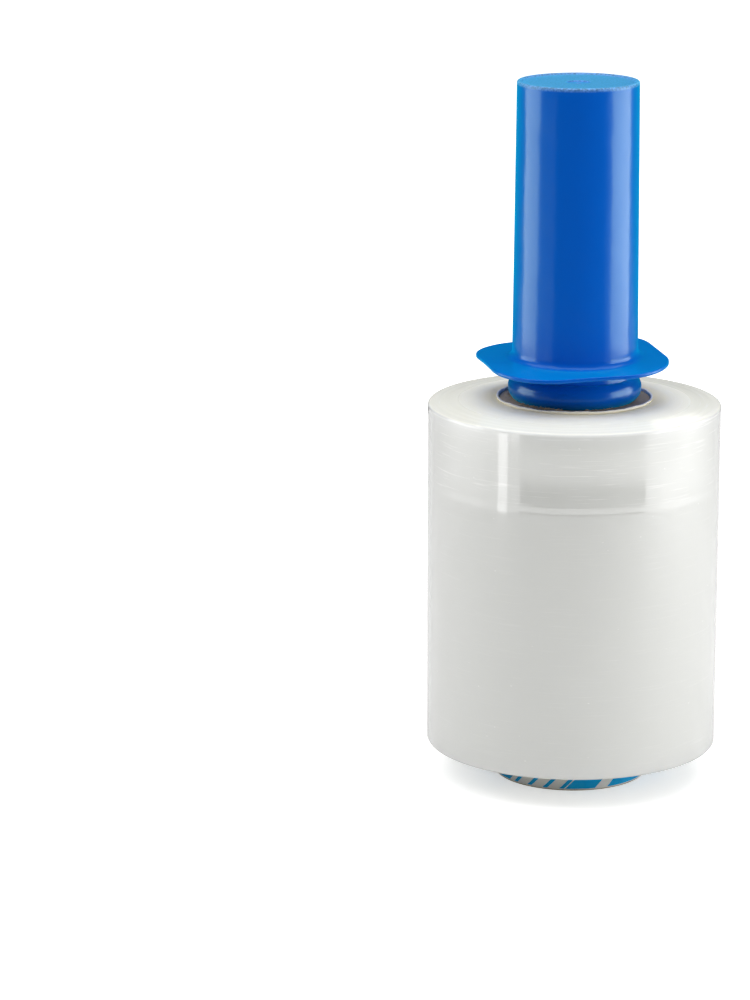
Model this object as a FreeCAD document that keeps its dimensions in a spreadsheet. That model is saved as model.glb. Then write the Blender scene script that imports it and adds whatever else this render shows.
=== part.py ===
"""Hand stretch wrap roll, standing on the end of its core, with a plug-in hand grip.

Four pieces: the wound film, the paperboard core, the core's printed paper ply
and the moulded grip, which turns in the core while the film is paid out.
Millimetres, +Z up, the origin on the roll's axis where the core stands.
"""
import FreeCAD, Part
import math
import os
import re

import Sketcher

# Driving dimensions, in millimetres and degrees.
SIZES = {
    "film_width": 127.5,            # five inches of film, wound with a little wander
    "film_radius": 53.5,
    "film_clearance": 12.2,         # floor to the lowest outer turn
    "film_dish": 2.0,               # how far the inner turns have slid upwards
    "film_edge_round": 0.9,
    "core_length": 141.4,
    "core_radius": 28.1,            # over the printed ply
    "ply_thickness": 0.35,
    "ply_short": 0.4,               # the paper ply is worn back at the foot
    "bore_radius": 21.3,
    "torn_depth": 1.4,              # saw-torn edge at the foot of the bore
    "torn_width": 0.75,
    "grip_top_radius": 22.0,
    "grip_root_radius": 22.85,
    "grip_length": 100.5,
    "grip_rim_width": 1.3,
    "grip_rim_bevel": 0.6,
    "crown_thickness": 2.6,
    "crown_recess": 0.6,
    "well_radius": 4.0,             # round well of the moulding gate
    "well_depth": 0.5,
    "gate_radius": 1.0,
    "gate_height": 0.35,
    "brim_height": 15.4,            # core end to the brim's top, at the grip
    "brim_thickness": 1.4,
    "brim_half_width": 32.65,
    "brim_corner_radius": 22.0,
    "brim_turn": 12.4,
    "brim_shift_across": -1.1,      # the outline is moulded off the grip's centre
    "brim_shift_along": 0.3,
    "brim_reach": 34.0,             # where the warp below has the sizes given
    "brim_droop": 0.3,              # the brim has warped since it was moulded
    "brim_lean": 1.15,
    "brim_lean_heading": 48.0,
    "brim_saddle": 0.6,
    "brim_saddle_heading": 19.5,
    "root_cove": 2.6,
    "neck_radius": 21.5,
    "bead_radius": 24.35,
    "bead_height": 8.7,
    "bead_seat_radius": 22.1,
    "spigot_radius": 21.2,
    "spigot_length": 50.0,
    "spigot_lead": 7.0,
    "spigot_tip_radius": 20.5,
    "hollow_radius": 19.5,
}

# Side of the wound film: where each band of its width begins and ends, as shares of
# the width, and how far the band lies inside the largest radius. Film is never of
# quite even gauge, so a roll builds up hard bands and slack ones.
GAUGE_BANDS = [
    (0.000, 0.105, 0.15), (0.112, 0.405, 0.04), (0.412, 0.590, 0.12), (0.597, 0.780, 0.00),
    (0.788, 0.866, 0.30), (0.874, 1.000, 0.10),
]

# Ends of the wound film: where each group of turns ends, as a share of the way out
# from the core, and how far the group has slid down, as a share of the dish.
TURN_GROUPS = [(0.22, 0.00), (0.41, 0.12), (0.60, 0.30), (0.76, 0.54), (0.88, 0.80)]

# How the outermost turns round off the edge of each end: shares of the edge's size
# across and up, from the end towards the side.
EDGE_ROUNDING = [(0.0, 0.0), (0.62, 0.16), (0.90, 0.45), (1.0, 1.0)]

TORN_POINTS = 60
WARP_GRID = 4                       # a cubic patch, which the warp fits exactly
WARP_SIDE = 44.0                    # half side of the warped sheet before it is trimmed

doc = FreeCAD.newDocument("stretch_wrap_roll")


def make_sheet():
    """Puts the driving dimensions in a spreadsheet, one aliased cell each."""
    sheet = doc.addObject("Spreadsheet::Sheet", "Sizes")
    for row, (alias, value) in enumerate(SIZES.items(), start=1):
        sheet.set(f"A{row}", alias)
        sheet.set(f"B{row}", str(value))
        sheet.setAlias(f"B{row}", alias)
    doc.recompute()
    return sheet


sizes = make_sheet()


def bound(expression):
    """The expression with each size written as a reference to its cell."""
    return re.sub(r"\b([a-z]+(?:_[a-z]+)+)\b", r"Sizes.\1", expression)


def value(expression):
    """The number that an expression on the sizes has now."""
    return float(sizes.evalExpression(bound(expression)))


def plane_of(body, role):
    """One of a body's own origin planes."""
    return next(f for f in body.Origin.OriginFeatures if f.Role == role)


def new_body(label):
    """An empty body."""
    body = doc.addObject("PartDesign::Body", label)
    body.Label = label
    return body


def new_sketch(body, name, role, height=None):
    """A sketch on one of the body's origin planes, lifted by an expression if given."""
    sketch = body.newObject("Sketcher::SketchObject", name)
    sketch.AttachmentSupport = [(plane_of(body, role), "")]
    sketch.MapMode = "FlatFace"
    if height is not None:
        sketch.setExpression("AttachmentOffset.Base.z", bound(height))
    return sketch


def pin_point(sketch, edge, end, across, up):
    """Holds one end of an edge at a place given by two expressions."""
    for kind, expression in (("DistanceX", across), ("DistanceY", up)):
        if abs(value(expression)) < 1e-9:
            line = -2 if kind == "DistanceX" else -1
            sketch.addConstraint(Sketcher.Constraint("PointOnObject", edge, end, line))
            continue
        number = sketch.addConstraint(Sketcher.Constraint(kind, -1, 1, edge, end, value(expression)))
        sketch.setExpression(f"Constraints[{number}]", bound(expression))


def arc_between(start, end, radius, turn):
    """An arc from start to end. It turns left for turn 1 and right for turn -1."""
    chord = end - start
    middle = (start + end) * 0.5
    rise = math.sqrt(max(radius**2 - (chord.Length / 2) ** 2, 0.0))
    across = FreeCAD.Vector(-chord.y, chord.x, 0).normalize()
    centre = middle + across * rise * turn
    bulge = centre - across * radius * turn
    return Part.Arc(start, bulge, end)


def draw_outline(sketch, points):
    """Draws a closed outline. Each point is (across, up), or (across, up, radius, turn)
    where an arc of that radius leads on from it to the next point."""
    places = [FreeCAD.Vector(value(p[0]), value(p[1]), 0) for p in points]
    first = sketch.GeometryCount
    ends = []
    for number, point in enumerate(points):
        start = places[number]
        finish = places[(number + 1) % len(points)]
        if len(point) == 2:
            sketch.addGeometry(Part.LineSegment(start, finish), False)
            ends.append((1, 2))
            continue
        edge = sketch.addGeometry(arc_between(start, finish, value(point[2]), point[3]), False)
        ends.append((1, 2) if point[3] > 0 else (2, 1))
        rule = sketch.addConstraint(Sketcher.Constraint("Radius", edge, value(point[2])))
        sketch.setExpression(f"Constraints[{rule}]", bound(point[2]))
    for number, point in enumerate(points):
        after = (number + 1) % len(points)
        joint = Sketcher.Constraint(
            "Coincident", first + number, ends[number][1], first + after, ends[after][0]
        )
        sketch.addConstraint(joint)
        pin_point(sketch, first + number, ends[number][0], point[0], point[1])


def draw_circle(sketch, radius, across="0", up="0"):
    """Draws a circle about the sketch's origin, or about a place given by expressions."""
    centre = FreeCAD.Vector(value(across), value(up), 0)
    edge = sketch.addGeometry(Part.Circle(centre, FreeCAD.Vector(0, 0, 1), value(radius)), False)
    pin_point(sketch, edge, 3, across, up)
    rule = sketch.addConstraint(Sketcher.Constraint("Radius", edge, value(radius)))
    sketch.setExpression(f"Constraints[{rule}]", bound(radius))


def revolve(body, name, points):
    """Turns a closed half section, in radius and height, about the roll's axis."""
    sketch = new_sketch(body, name + "_section", "XZ_Plane")
    draw_outline(sketch, points)
    turned = body.newObject("PartDesign::Revolution", name)
    turned.Profile = sketch
    turned.ReferenceAxis = (sketch, ["V_Axis"])
    turned.Angle = 360.0
    doc.recompute()
    return turned


def make_tube(label, outer, inner, foot):
    """A plain tube from the given foot to the end of the core."""
    body = new_body(label)
    sketch = new_sketch(body, label + "_ring", "XY_Plane", foot)
    draw_circle(sketch, outer)
    draw_circle(sketch, inner)
    pad = body.newObject("PartDesign::Pad", label + "_wall")
    pad.Profile = sketch
    pad.setExpression("Length", bound(f"core_length - ({foot})"))
    doc.recompute()
    return body


def torn_radius(angle):
    """Radius of the torn mouth at an angle: a few waves that never line up."""
    wave = math.sin(7 * angle + 0.6) + 0.7 * math.sin(17 * angle + 2.1) + 0.5 * math.sin(29 * angle)
    share = min(abs(wave) / 1.8, 1.0)
    return value("bore_radius + 0.1") + value("torn_width") * share


def make_core():
    """Spiral-wound paperboard tube. The saw has torn the plies at the foot of its bore."""
    body = make_tube("core_tube", "core_radius - ply_thickness", "bore_radius", "0")
    sketch = new_sketch(body, "torn_mouth", "XY_Plane")
    angles = [2 * math.pi * n / TORN_POINTS for n in range(TORN_POINTS)]
    corners = [
        FreeCAD.Vector(torn_radius(a) * math.cos(a), torn_radius(a) * math.sin(a), 0) for a in angles
    ]
    for start, end in zip(corners, corners[1:] + corners[:1]):
        sketch.addGeometry(Part.LineSegment(start, end), False)
    doc.recompute()
    whole = body.Shape.Volume
    tear = body.newObject("PartDesign::Pocket", "torn_edge")
    tear.Profile = sketch
    tear.Reversed = True
    tear.setExpression("Length", bound("torn_depth"))
    doc.recompute()
    if body.Shape.Volume >= whole:
        raise RuntimeError("the torn edge cut nothing")
    return body


def film_end(inner):
    """Points of one end of the film, from the core outwards, with its inner turns at the
    given height. Each group of turns is a flat ring, and the next has slid down from it."""
    points = []
    start = 0.0
    for end, slide in TURN_GROUPS:
        height = f"{inner} - film_dish * {slide}"
        for share in (start, end):
            points.append((f"core_radius + (film_radius - core_radius) * {share}", height))
        start = end
    points.append((points[-1][0], f"{inner} - film_dish"))
    return points


def film_edge(inset, height, up):
    """Points of an outer edge of the film, from its end towards its side. The edge lies
    at the given height, and its side runs up from there for 1 and down for -1."""
    inner = f"film_radius - {inset} - film_edge_round"
    return [
        (f"{inner} + film_edge_round * {across}", f"{height} + film_edge_round * {up * along}")
        for across, along in EDGE_ROUNDING
    ]


def make_film():
    """The wound film: every turn is one solid with the others."""
    body = new_body("film_roll")
    foot = "film_clearance"
    top = f"{foot} + film_width"
    points = film_end(f"{foot} + film_dish")
    points += film_edge(GAUGE_BANDS[0][2], foot, 1)
    for below, above in zip(GAUGE_BANDS, GAUGE_BANDS[1:]):
        points.append((f"film_radius - {below[2]}", f"{foot} + film_width * {below[1]}"))
        points.append((f"film_radius - {above[2]}", f"{foot} + film_width * {above[0]}"))
    points += reversed(film_edge(GAUGE_BANDS[-1][2], top, -1))
    points += reversed(film_end(f"{top} + film_dish"))
    revolve(body, "wound_turns", points)
    return body


def make_shell():
    """The grip's turned shell: crown, grip, neck, bead and the spigot inside the core."""
    body = new_body("grip_shell")
    top = "core_length + brim_height + grip_length"
    floor = f"{top} - crown_recess"
    well = f"{floor} - well_depth"
    brim = "core_length + brim_height"
    foot = "core_length - spigot_length"
    shoulder = "core_length + bead_height"
    rim = "grip_top_radius - grip_rim_width"
    proud = "(bead_radius - bead_seat_radius)"
    bulge = f"(bead_height ^ 2 / 4 + {proud} ^ 2) / (2 * {proud})"
    points = [
        ("0", f"{top} - crown_thickness"),
        ("hollow_radius", f"{top} - crown_thickness"),
        ("hollow_radius", foot),
        ("spigot_tip_radius", foot),
        ("spigot_radius", f"{foot} + spigot_lead"),
        ("spigot_radius", "core_length"),
        ("bead_seat_radius", "core_length", bulge, 1),
        ("bead_seat_radius", shoulder),
        ("neck_radius", shoulder),
        ("neck_radius", f"{brim} - brim_thickness * 0.5"),
        ("grip_root_radius", f"{brim} - brim_thickness * 0.5"),
        ("grip_top_radius", f"{top} - grip_rim_bevel"),
        ("grip_top_radius - grip_rim_bevel", top),
        (rim, top),
        (f"{rim} - 0.4", floor),
        ("well_radius + 0.4", floor),
        ("well_radius", well),
        ("gate_radius", well),
        ("gate_radius", f"{well} + gate_height"),
        ("0", f"{well} + gate_height"),
    ]
    revolve(body, "shell", points)
    return body


def brim_rise(across, along):
    """How far the warped brim stands above its level at the grip."""
    reach = math.hypot(across, along)
    share = reach / value("brim_reach")
    root = value("grip_root_radius / brim_reach")
    heading = math.atan2(along, across)
    lean = math.cos(heading - math.radians(value("brim_lean_heading")))
    saddle = math.cos(2 * (heading - math.radians(value("brim_saddle_heading"))))
    droop = value("brim_droop") * (share**2 - root**2) / (1 - root**2)
    return value("brim_lean") * lean * share**3 + value("brim_saddle") * saddle * share**2 - droop


def make_brim_sheet():
    """A sheet of the brim's thickness that follows its warp, wider than the brim."""
    level = value("core_length + brim_height")
    steps = [WARP_SIDE * (2 * n / (WARP_GRID - 1) - 1) for n in range(WARP_GRID)]
    grid = [[FreeCAD.Vector(x, y, level + brim_rise(x, y)) for y in steps] for x in steps]
    surface = Part.BSplineSurface()
    surface.interpolate(grid)
    sheet = doc.addObject("Part::Feature", "brim_sheet")
    sheet.Shape = surface.toShape().extrude(FreeCAD.Vector(0, 0, -value("brim_thickness")))
    return sheet


def make_brim_blank():
    """A rounded square block with a hole for the shell, from which the brim is trimmed.
    The block is shifted and turned as a whole, and the hole stays on the roll's axis."""
    body = new_body("brim_blank")
    depth = "brim_thickness + brim_lean * 3 + brim_saddle * 3 + brim_droop * 3"
    sketch = new_sketch(body, "brim_outline", "XY_Plane", f"core_length + brim_height - ({depth}) * 0.5")
    side = "brim_half_width"
    flat = "(brim_half_width - brim_corner_radius)"
    points = []
    for corner in range(4):
        # Each side runs straight and then turns the corner to the left.
        signs = [(1, 1), (-1, 1), (-1, -1), (1, -1)][corner]
        here = [(side, flat), (flat, side)]
        if corner % 2:
            here.reverse()
        first, second = [(f"{signs[0]} * {x}", f"{signs[1]} * {y}") for x, y in here]
        points.append((*first, "brim_corner_radius", 1))
        points.append(second)
    draw_outline(sketch, points)
    across = "-brim_shift_across * cos(brim_turn) - brim_shift_along * sin(brim_turn)"
    up = "brim_shift_across * sin(brim_turn) - brim_shift_along * cos(brim_turn)"
    draw_circle(sketch, "neck_radius - 0.6", across, up)
    pad = body.newObject("PartDesign::Pad", "brim_block")
    pad.Profile = sketch
    pad.setExpression("Length", bound(depth))
    doc.recompute()
    body.setExpression("Placement.Base.x", bound("brim_shift_across"))
    body.setExpression("Placement.Base.y", bound("brim_shift_along"))
    body.setExpression("Placement.Rotation.Angle", bound("brim_turn"))
    return body


def root_edges(shape):
    """Numbers of the edges where the grip meets the brim."""
    level = value("core_length + brim_height")
    radius = value("grip_root_radius")
    numbers = []
    for number, edge in enumerate(shape.Edges, start=1):
        on_wall = all(abs(math.hypot(v.X, v.Y) - radius) < 0.1 for v in edge.Vertexes)
        middle = (edge.BoundBox.ZMin + edge.BoundBox.ZMax) / 2
        if on_wall and abs(middle - level) < 0.6 and edge.Length > radius:
            numbers.append(number)
    return numbers


def make_handle():
    """The grip: turned shell and warped brim moulded as one, with a cove at the root."""
    shell = make_shell()
    blank = make_brim_blank()
    sheet = make_brim_sheet()
    doc.recompute()
    brim = doc.addObject("Part::Common", "brim")
    brim.Base = blank
    brim.Tool = sheet
    doc.recompute()
    joined = doc.addObject("Part::Fuse", "grip_and_brim")
    joined.Base = shell
    joined.Tool = brim
    joined.Refine = True
    doc.recompute()
    root = root_edges(joined.Shape)
    if not root:
        raise RuntimeError("the brim's root was not found")
    handle = doc.addObject("Part::Fillet", "handle")
    handle.Base = joined
    cove = value("root_cove")
    handle.Edges = [(number, cove, cove) for number in root]
    handle.Label = "handle"
    doc.recompute()
    return handle


def check_and_export(pieces):
    """Stops on a failed object or shape, then writes each piece to its own file."""
    for thing in doc.Objects:
        if {"Invalid", "Error"} & set(thing.State):
            raise RuntimeError(f"{thing.Name} failed: {thing.State}")
    os.makedirs("parts", exist_ok=True)
    for piece in pieces:
        shape = piece.Shape
        if shape.isNull() or not shape.isValid() or not shape.Solids:
            raise RuntimeError(f"{piece.Label} has no valid solid")
        shape.exportStep(os.path.join("parts", piece.Label + ".step"))
        print(f"{piece.Label}: {len(shape.Solids)} solid, {shape.Volume / 1000:.1f} cm3")


def main():
    """Builds every piece and writes it."""
    core = make_core()
    ply = make_tube("printed_ply", "core_radius", "core_radius - ply_thickness", "ply_short")
    film = make_film()
    handle = make_handle()
    doc.recompute()
    check_and_export([core, ply, film, handle])


main()
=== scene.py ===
"""The looks of a hand stretch wrap roll that stands on the end of its core.

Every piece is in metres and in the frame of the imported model: +Z up, the origin on
the roll's axis where the core stands.
"""
import math

import bmesh
import bpy
import numpy as np
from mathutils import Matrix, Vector


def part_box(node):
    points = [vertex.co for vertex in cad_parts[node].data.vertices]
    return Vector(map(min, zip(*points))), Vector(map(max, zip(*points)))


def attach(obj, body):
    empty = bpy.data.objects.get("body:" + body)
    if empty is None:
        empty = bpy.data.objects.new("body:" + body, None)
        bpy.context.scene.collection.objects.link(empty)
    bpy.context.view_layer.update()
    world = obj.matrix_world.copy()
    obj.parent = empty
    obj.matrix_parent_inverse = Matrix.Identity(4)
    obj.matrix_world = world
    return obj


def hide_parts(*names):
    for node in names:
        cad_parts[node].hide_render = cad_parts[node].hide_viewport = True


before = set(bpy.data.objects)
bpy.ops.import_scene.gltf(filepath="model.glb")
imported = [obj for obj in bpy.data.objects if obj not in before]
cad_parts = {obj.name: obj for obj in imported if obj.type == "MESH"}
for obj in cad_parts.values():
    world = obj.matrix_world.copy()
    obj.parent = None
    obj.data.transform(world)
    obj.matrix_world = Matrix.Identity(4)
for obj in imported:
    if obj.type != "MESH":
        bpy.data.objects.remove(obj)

bl_info = {
    "name": "Stretch Wrap Roll",
    "version": (1, 0, 0),
    "blender": (4, 5, 0),
    "location": "3D View > Sidebar > Wrap Roll",
    "description": "Dresses a hand stretch wrap roll: film, core, printed ply, torn paper and grip",
    "category": "Object",
}

MM = 0.001
TAU = 2 * math.pi
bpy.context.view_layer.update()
FILM_LOW, FILM_HIGH = (Vector(corner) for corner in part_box("film_roll"))
CORE_LOW, CORE_HIGH = (Vector(corner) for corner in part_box("core_tube"))
PLY_LOW, PLY_HIGH = (Vector(corner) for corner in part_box("printed_ply"))
GRIP_LOW, GRIP_HIGH = (Vector(corner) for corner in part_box("handle"))
# The inner turns of the film have slid up by this much over its rim, and its outer turns
# step in at a ledge, at this share of its width.
FILM_DISH = 2.0 * MM
FILM_RIM = FILM_HIGH.z - FILM_DISH
LEDGE_SHARE = 0.784
# The label's pattern comes again after this run, about half the way round the core.
LABEL_PITCH = 88.28


def linear(hex_colour):
    """An sRGB hex colour as linear RGBA."""
    parts = [int(hex_colour[i:i + 2], 16) / 255 for i in (1, 3, 5)]
    toned = [c / 12.92 if c <= 0.04045 else ((c + 0.055) / 1.055) ** 2.4 for c in parts]
    return (*toned, 1.0)


def length(name, description, default):
    """A size in metres for a property group."""
    return bpy.props.FloatProperty(
        name=name, description=description, default=default, precision=5, subtype="DISTANCE", unit="LENGTH"
    )


def colour(name, description, default):
    """A colour for a property group, from its sRGB hex value."""
    return bpy.props.FloatVectorProperty(
        name=name, description=description, default=linear(default), size=4, subtype="COLOR", min=0, max=1
    )


class WrapRollSizes(bpy.types.PropertyGroup):
    """Sizes that the frame's boxes don't give."""

    columns: bpy.props.IntProperty(name="Columns", description="Divisions round a turned piece", default=256)
    film_dish: length("Film dish", "How far the inner turns have slid up", FILM_DISH)
    film_edge: length("Film edge", "Rounding of the film's outer edges", 0.9 * MM)
    streak_depth: length("Streak depth", "Height of the fine streaks between turns", 0.09 * MM)
    tail_step: length("Tail step", "Step at the loose end of the film", 0.05 * MM)
    bore: length("Bore", "Radius of the core's bore", 21.3 * MM)
    tear_depth: length("Tear depth", "How far up the bore its foot is torn", 1.6 * MM)
    tear_width: length("Tear width", "How far the tears reach into the board", 0.8 * MM)
    fibre_length: length("Fibre length", "Length of a torn paper fibre", 1.5 * MM)
    fibre_radius: length("Fibre radius", "Half thickness of a torn paper fibre", 0.1 * MM)
    fibres: bpy.props.IntProperty(name="Fibres", description="Torn fibres in a patch, as a base", default=150)
    grip_root: length("Grip root", "Radius of the grip above its brim", 22.85 * MM)
    grip_top: length("Grip top", "Radius of the grip at its crown", 22.0 * MM)
    grip_brim: length("Brim height", "Core's end to the top of the brim", 15.4 * MM)
    brim_thickness: length("Brim thickness", "Thickness of the brim", 1.4 * MM)
    brim_half: length("Brim half width", "Half width of the rounded square brim", 32.65 * MM)
    brim_corner: length("Brim corner", "Corner radius of the brim", 22.0 * MM)
    cove: length("Cove", "Radius of the cove where grip and brim meet", 2.6 * MM)
    neck: length("Neck", "Radius of the neck under the brim", 21.5 * MM)
    bead: length("Bead", "Radius of the bead over the core", 24.35 * MM)
    bead_height: length("Bead height", "Height of the bead", 8.7 * MM)
    bead_seat: length("Bead seat", "Radius of the bead where it sits on the core", 22.1 * MM)
    spigot: length("Spigot", "Radius of the spigot in the core", 21.2 * MM)
    hollow: length("Hollow", "Radius of the hollow in spigot and grip", 19.5 * MM)


class WrapRollColours(bpy.types.PropertyGroup):
    """Colours of the finishes."""

    film: colour("Film", "Clear film seen through many turns", "#E3E4E0")
    film_end: colour("Film end", "Film at the ends, where the turns show their edges", "#F1F0E4")
    film_first: colour("Film, first turns", "Film next to the core", "#FFF1C8")
    film_pale: colour("Film, pale", "Streaks and specks of trapped air", "#FBFBF8")
    board: colour("Board", "Sawn end of the grey paperboard", "#B5A48C")
    kraft: colour("Kraft", "Torn inner plies of brown paper", "#A08563")
    paper: colour("Paper", "White of the printed ply", "#FCFBF4")
    print_blue: colour("Print blue", "Blue fields of the printed ply", "#00B2F6")
    print_grey: colour("Print grey", "Bare bars of the printed ply", "#FBFAF6")
    grip: colour("Grip", "Blue of the moulded grip", "#0055C6")
    grip_gloss: colour("Grip gloss", "Tint of the grip's gloss", "#D2FFD6")
    # Painted sheen: the crown is painted a paler blue for the gloss of its stipple.
    crown_painted_sheen: colour("Grip crown", "Paler blue of the stippled crown", "#6C98D0")
    grip_bloom: colour("Grip bloom", "Tint of the grip's bloom at a low angle", "#08D0FF")
    floor: colour("Floor", "Pale floor", "#D8D8D8")


def add_node(tree, kind, inputs=None, **settings):
    """Adds a node with its settings, then sets or links its inputs by name or number."""
    node = tree.nodes.new(kind)
    for name, value in settings.items():
        setattr(node, name, value)
    for key, value in (inputs or {}).items():
        if isinstance(value, bpy.types.NodeSocket):
            tree.links.new(value, node.inputs[key])
        else:
            node.inputs[key].default_value = value
    return node


def calc(tree, operation, *values):
    """The result of a Math node on one to three values."""
    return add_node(tree, "ShaderNodeMath", dict(enumerate(values)), operation=operation).outputs[0]


def ramp(tree, value, start, end, low=0.0, high=1.0):
    """A value that runs from low to high while the given one runs from start to end."""
    inputs = {"Value": value, "From Min": start, "From Max": end, "To Min": low, "To Max": high}
    return add_node(tree, "ShaderNodeMapRange", inputs).outputs[0]


def blend(tree, factor, first, second):
    """The first colour at a factor of 0, and the second at 1."""
    return add_node(tree, "ShaderNodeMix", {0: factor, 6: first, 7: second}, data_type="RGBA").outputs[2]


def new_material(name):
    """An empty node material with its output, shader and object coordinates."""
    material = bpy.data.materials.new(name)
    material.use_nodes = True
    tree = material.node_tree
    tree.nodes.clear()
    shader = add_node(tree, "ShaderNodeBsdfPrincipled")
    add_node(tree, "ShaderNodeOutputMaterial", {"Surface": shader.outputs["BSDF"]})
    place = add_node(tree, "ShaderNodeTexCoord").outputs["Object"]
    return material, tree, shader, place


def stretch_film_material(colours):
    """Cast polyethylene film, wound under tension. Each turn is clear, and light scatters
    between them, so the roll is milky with a wet gloss from its outermost turn. The side is
    smooth but for specks of trapped air. Above its ledge the turns are slack, and draw
    fine streaks that go on as rings over the end."""
    material, tree, shader, place = new_material("cast_polyethylene_film_wound")
    spread = add_node(tree, "ShaderNodeSeparateXYZ", {0: place})
    flat = add_node(tree, "ShaderNodeVectorMath", {0: place, 1: (1, 1, 0)}, operation="MULTIPLY")
    reach = add_node(tree, "ShaderNodeVectorMath", {0: flat.outputs[0]}, operation="LENGTH")
    # Reach plus height runs on without a break from the ends to the side.
    run = calc(tree, "ADD", reach.outputs["Value"], spread.outputs["Z"])
    along = add_node(
        tree, "ShaderNodeCombineXYZ", {"X": spread.outputs["X"], "Y": spread.outputs["Y"], "Z": run}
    )
    # A streak is 0.6 mm wide and about 17 mm long.
    fine = add_node(
        tree, "ShaderNodeMapping", {"Vector": along.outputs[0], "Scale": (60, 60, 1 / (0.6 * MM))}
    )
    streaks = add_node(
        tree, "ShaderNodeTexNoise",
        {"Vector": fine.outputs[0], "Scale": 1.0, "Detail": 3.0, "Roughness": 0.55}
    )
    ledge = FILM_LOW.z + LEDGE_SHARE * (FILM_RIM - FILM_LOW.z)
    slack = ramp(tree, spread.outputs["Z"], ledge - 0.6 * MM, ledge + 0.6 * MM, 0.25, 1.0)
    pale = ramp(tree, streaks.outputs["Fac"], 0.58, 0.78)
    veil = calc(tree, "MULTIPLY", pale, slack)
    # Specks of air are about 0.6 mm long and 0.4 mm high, one to a cell of 8 by 8 by 5 mm.
    sparse = add_node(tree, "ShaderNodeMapping", {"Vector": along.outputs[0], "Scale": (125, 125, 210)})
    cells = add_node(tree, "ShaderNodeTexVoronoi", {"Vector": sparse.outputs[0], "Scale": 1.0})
    speck = ramp(tree, cells.outputs["Distance"], 0.02, 0.06, 1.0, 0.0)
    side = ramp(tree, reach.outputs["Value"], FILM_HIGH.x - 0.6 * MM, FILM_HIGH.x - 0.25 * MM)
    ground = blend(tree, side, colours.film_end[:], colours.film[:])
    # The first turns, 7 mm of them, are warmer, which offsets the blue light off the grip.
    first = ramp(tree, reach.outputs["Value"], PLY_HIGH.x, PLY_HIGH.x + 7 * MM)
    ground = blend(tree, first, colours.film_first[:], ground)
    marks = calc(tree, "MAXIMUM", veil, speck)
    faint = calc(tree, "MULTIPLY", marks, 0.75)
    tone = blend(tree, faint, ground, colours.film_pale[:])
    height = calc(tree, "MULTIPLY", streaks.outputs["Fac"], slack)
    raised = calc(tree, "MULTIPLY_ADD", speck, 0.8, height)
    relief = add_node(tree, "ShaderNodeBump", {"Height": raised, "Strength": 0.5, "Distance": 0.012 * MM})
    sheen = ramp(tree, side, 0.0, 1.0, 0.25, 0.5)
    # The side and the outer 8 mm of the ends are smoother, and mirror a lamp with a clear edge.
    dull = ramp(tree, reach.outputs["Value"], FILM_HIGH.x - 12 * MM, FILM_HIGH.x - 8 * MM, 0.3, 0.16)
    # The outermost turn ends just under the rounded rim, and its gloss with it.
    under = ramp(tree, spread.outputs["Z"], FILM_RIM - 1.4 * MM, FILM_RIM - 1.0 * MM, 1.0, 0.0)
    wet = calc(tree, "MULTIPLY", side, under)
    tree.links.new(tone, shader.inputs["Base Color"])
    tree.links.new(relief.outputs[0], shader.inputs["Normal"])
    tree.links.new(relief.outputs[0], shader.inputs["Coat Normal"])
    tree.links.new(dull, shader.inputs["Roughness"])
    tree.links.new(sheen, shader.inputs["Specular IOR Level"])
    tree.links.new(wet, shader.inputs["Coat Weight"])
    shader.inputs["IOR"].default_value = 1.5
    shader.inputs["Subsurface Weight"].default_value = 0.6
    shader.inputs["Subsurface Radius"].default_value = (1.0, 1.0, 1.0)
    shader.inputs["Subsurface Scale"].default_value = 15 * MM
    shader.inputs["Coat Roughness"].default_value = 0.05
    # The first few clear turns all give back gloss, as a single face of this index would.
    shader.inputs["Coat IOR"].default_value = 2.0
    return material


def paperboard_material(colours, bore):
    """Spiral-wound grey paperboard, sawn at its ends. The saw burnishes the ends to a dull
    mottled grey, and the bore shows the brown kraft of its innermost ply."""
    material, tree, shader, place = new_material("spiral_wound_paperboard_sawn")
    flat = add_node(tree, "ShaderNodeVectorMath", {0: place, 1: (1, 1, 0)}, operation="MULTIPLY")
    reach = add_node(tree, "ShaderNodeVectorMath", {0: flat.outputs[0]}, operation="LENGTH")
    inner = ramp(tree, reach.outputs["Value"], bore + 0.35 * MM, bore + 0.9 * MM)
    # Paper fibres clump at about 0.4 mm, and the plies are 0.55 mm thick.
    clumps = add_node(
        tree, "ShaderNodeTexNoise",
        {"Vector": place, "Scale": 1 / (0.4 * MM), "Detail": 4.0, "Roughness": 0.65}
    )
    stain = add_node(tree, "ShaderNodeTexNoise", {"Vector": place, "Scale": 1 / (7 * MM), "Detail": 2.0})
    ply = calc(tree, "MULTIPLY", reach.outputs["Value"], TAU / (0.55 * MM))
    plies = calc(tree, "SINE", ply)
    board = blend(tree, inner, colours.kraft[:], colours.board[:])
    shade = ramp(tree, clumps.outputs["Fac"], 0.25, 0.75, 0.78, 1.16)
    lined = calc(tree, "MULTIPLY_ADD", plies, 0.05, shade)
    blotch = ramp(tree, stain.outputs["Fac"], 0.3, 0.7, 0.9, 1.08)
    both = calc(tree, "MULTIPLY", lined, blotch)
    tone = add_node(tree, "ShaderNodeVectorMath", {0: board, "Scale": both}, operation="SCALE")
    relief = add_node(
        tree, "ShaderNodeBump", {"Height": clumps.outputs["Fac"], "Strength": 0.6, "Distance": 0.08 * MM}
    )
    tree.links.new(tone.outputs[0], shader.inputs["Base Color"])
    tree.links.new(relief.outputs[0], shader.inputs["Normal"])
    shader.inputs["Roughness"].default_value = 0.85
    shader.inputs["Specular IOR Level"].default_value = 0.3
    return material


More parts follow.
